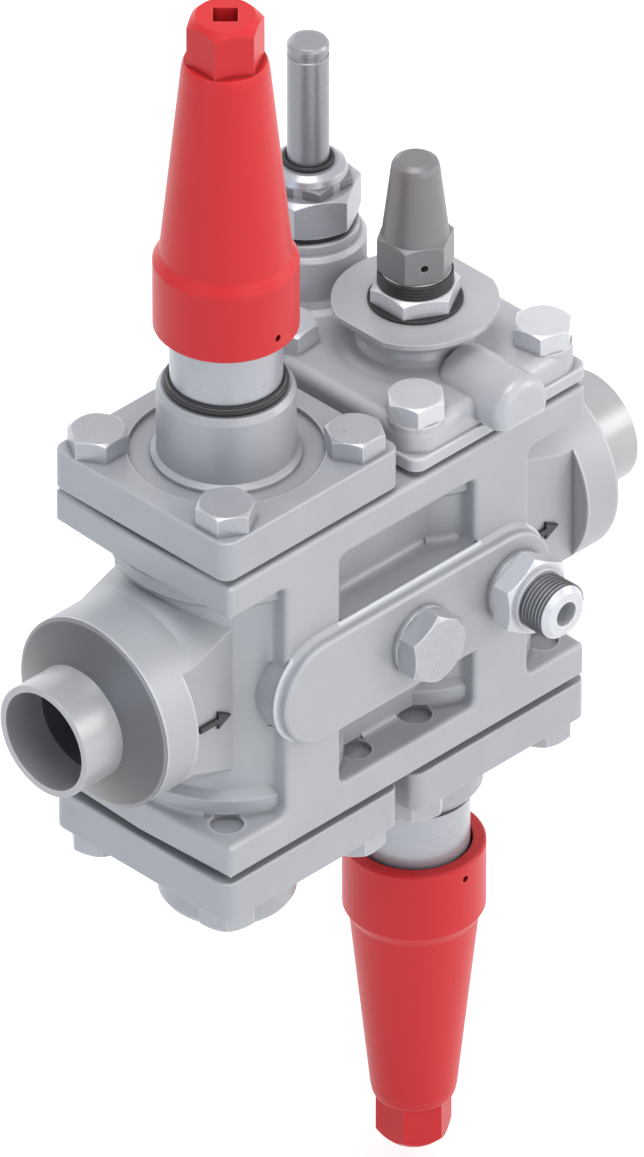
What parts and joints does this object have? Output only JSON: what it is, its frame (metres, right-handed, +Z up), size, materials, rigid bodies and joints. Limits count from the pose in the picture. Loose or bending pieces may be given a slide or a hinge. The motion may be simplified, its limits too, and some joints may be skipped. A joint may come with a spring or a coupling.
{
  "type": "refrigeration valve station",
  "caption": "Flanged steel valve station for a refrigeration line: cast body with stop valves, strainer and solenoid valve modules, red seal caps, gauge connector and butt-weld ends.",
  "frame": {"origin": "centre of the inlet pipe's end face", "axes": "+X along the flow from inlet to outlet, -Y towards the front bar with the gauge connector, +Z up through the upper modules"},
  "size_m": [0.27, 0.1509, 0.5194],
  "materials": {
    "cast_steel": "fine cast, satin paint-free",
    "machined_steel": "machined satin",
    "stub_steel": "turned, neutral grey",
    "bright_steel": "bright zinc",
    "red_cap": "red, satin",
    "dark_cap": "dark grey, satin",
    "nameplate": "plain, satin",
    "gasket": "matt",
    "sealing": "white polymer",
    "brass": "turned"
  },
  "bodies": {
    "station": {"valve_body": "cast_steel", "inlet_stub": "stub_steel", "outlet_stub": "stub_steel", "plug": "bright_steel", "plug_washer": "bright_steel", "gauge_connector": "bright_steel", "gauge_washer": "bright_steel", "m1_cover": "machined_steel", "m1_cover_gasket": "gasket", "m1_bolts": "bright_steel", "m1_gland": "machined_steel", "m1_packing": "sealing", "m1_seat_ring": "bright_steel", "m2_cover": "machined_steel", "m2_cover_gasket": "gasket", "m2_bolts": "bright_steel", "m2_screen": "bright_steel", "m2_end_ring": "machined_steel", "m2_drain_plug": "bright_steel", "m2_drain_washer": "bright_steel", "m3_cover": "cast_steel", "m3_cover_gasket": "gasket", "m3_bolts": "bright_steel", "m3_nameplate": "nameplate", "m3_gland_nut": "bright_steel", "m3_piston_spring": "bright_steel", "m3_seat_ring": "bright_steel", "m3_orifice": "brass", "m3_tube_gasket": "gasket", "m3_tube_nut": "machined_steel", "m3_tube": "machined_steel", "m3_armature_spring": "bright_steel", "m4_cover": "machined_steel", "m4_cover_gasket": "gasket", "m4_bolts": "bright_steel", "m4_gland": "machined_steel", "m4_packing": "sealing", "m4_seat_ring": "bright_steel"},
    "m1_cone_lift": {"m1_cone": "machined_steel", "m1_cone_seal": "sealing"},
    "m1_spindle_screw": {"m1_spindle": "bright_steel"},
    "m1_cap_lift": {"m1_cap_gasket": "gasket"},
    "m1_cap_screw": {"m1_seal_cap": "red_cap"},
    "m4_cone_lift": {"m4_cone": "machined_steel", "m4_cone_seal": "sealing"},
    "m4_spindle_screw": {"m4_spindle": "bright_steel"},
    "m4_cap_lift": {"m4_cap_gasket": "gasket"},
    "m4_cap_screw": {"m4_seal_cap": "red_cap"},
    "m3_needle_lift": {"m3_needle": "bright_steel"},
    "m3_spindle_screw": {"m3_spindle": "bright_steel"},
    "m3_cap_lift": {"m3_cap_gasket": "gasket"},
    "m3_cap_screw": {"m3_spindle_cap": "dark_cap"},
    "m3_armature_slide": {"m3_armature": "machined_steel"},
    "m3_piston_slide": {"m3_piston": "bright_steel", "m3_piston_seal": "sealing"}
  },
  "joints": [
    {"name": "m1_spindle_lift", "type": "slide", "parent": "station", "child": "m1_cone_lift", "axis": [0, 0, 1], "range_m": [0, 0.012]},
    {"name": "m1_spindle_turn", "type": "hinge", "parent": "m1_cone_lift", "child": "m1_spindle_screw", "pos_m": [0.0889, 0, 0], "axis": [0, 0, 1], "range_deg": [0, 1441]},
    {"name": "m1_cap_lift", "type": "slide", "parent": "station", "child": "m1_cap_lift", "axis": [0, 0, 1], "range_m": [0, 0.012]},
    {"name": "m1_cap_turn", "type": "hinge", "parent": "m1_cap_lift", "child": "m1_cap_screw", "pos_m": [0.0889, 0, 0], "axis": [0, 0, 1], "range_deg": [0, 2161]},
    {"name": "m4_spindle_lift", "type": "slide", "parent": "station", "child": "m4_cone_lift", "axis": [0, 0, -1], "range_m": [0, 0.012]},
    {"name": "m4_spindle_turn", "type": "hinge", "parent": "m4_cone_lift", "child": "m4_spindle_screw", "pos_m": [0.1811, 0, 0], "axis": [0, 0, -1], "range_deg": [0, 1441]},
    {"name": "m4_cap_lift", "type": "slide", "parent": "station", "child": "m4_cap_lift", "axis": [0, 0, -1], "range_m": [0, 0.012]},
    {"name": "m4_cap_turn", "type": "hinge", "parent": "m4_cap_lift", "child": "m4_cap_screw", "pos_m": [0.1811, 0, 0], "axis": [0, 0, -1], "range_deg": [0, 2161]},
    {"name": "m3_spindle_lift", "type": "slide", "parent": "station", "child": "m3_needle_lift", "axis": [0, 0, 1], "range_m": [0, 0.005]},
    {"name": "m3_spindle_turn", "type": "hinge", "parent": "m3_needle_lift", "child": "m3_spindle_screw", "pos_m": [0.1811, 0, 0], "axis": [0, 0, 1], "range_deg": [0, 1201]},
    {"name": "m3_cap_lift", "type": "slide", "parent": "station", "child": "m3_cap_lift", "axis": [0, 0, 1], "range_m": [0, 0.0096]},
    {"name": "m3_cap_turn", "type": "hinge", "parent": "m3_cap_lift", "child": "m3_cap_screw", "pos_m": [0.1811, 0, 0], "axis": [0, 0, 1], "range_deg": [0, 2161]},
    {"name": "m3_armature_slide", "type": "slide", "parent": "station", "child": "m3_armature_slide", "axis": [0, 0, 1], "range_m": [0, 0.003], "stiffness_N_per_m": 400, "springref_m": -0.006, "deforming": ["m3_armature_spring"]},
    {"name": "m3_piston_slide", "type": "slide", "parent": "station", "child": "m3_piston_slide", "axis": [0, 0, 1], "range_m": [0, 0.008], "stiffness_N_per_m": 900, "springref_m": -0.01, "deforming": ["m3_piston_spring"]}
  ],
  "couplings": [
    {"joint": "m1_spindle_turn", "follows": "m1_spindle_lift", "rad_per_m": 2094.4},
    {"joint": "m1_cap_turn", "follows": "m1_cap_lift", "rad_per_m": 3141.6},
    {"joint": "m4_spindle_turn", "follows": "m4_spindle_lift", "rad_per_m": 2094.4},
    {"joint": "m4_cap_turn", "follows": "m4_cap_lift", "rad_per_m": 3141.6},
    {"joint": "m3_spindle_turn", "follows": "m3_spindle_lift", "rad_per_m": 4188.8},
    {"joint": "m3_cap_turn", "follows": "m3_cap_lift", "rad_per_m": 3927}
  ]
}
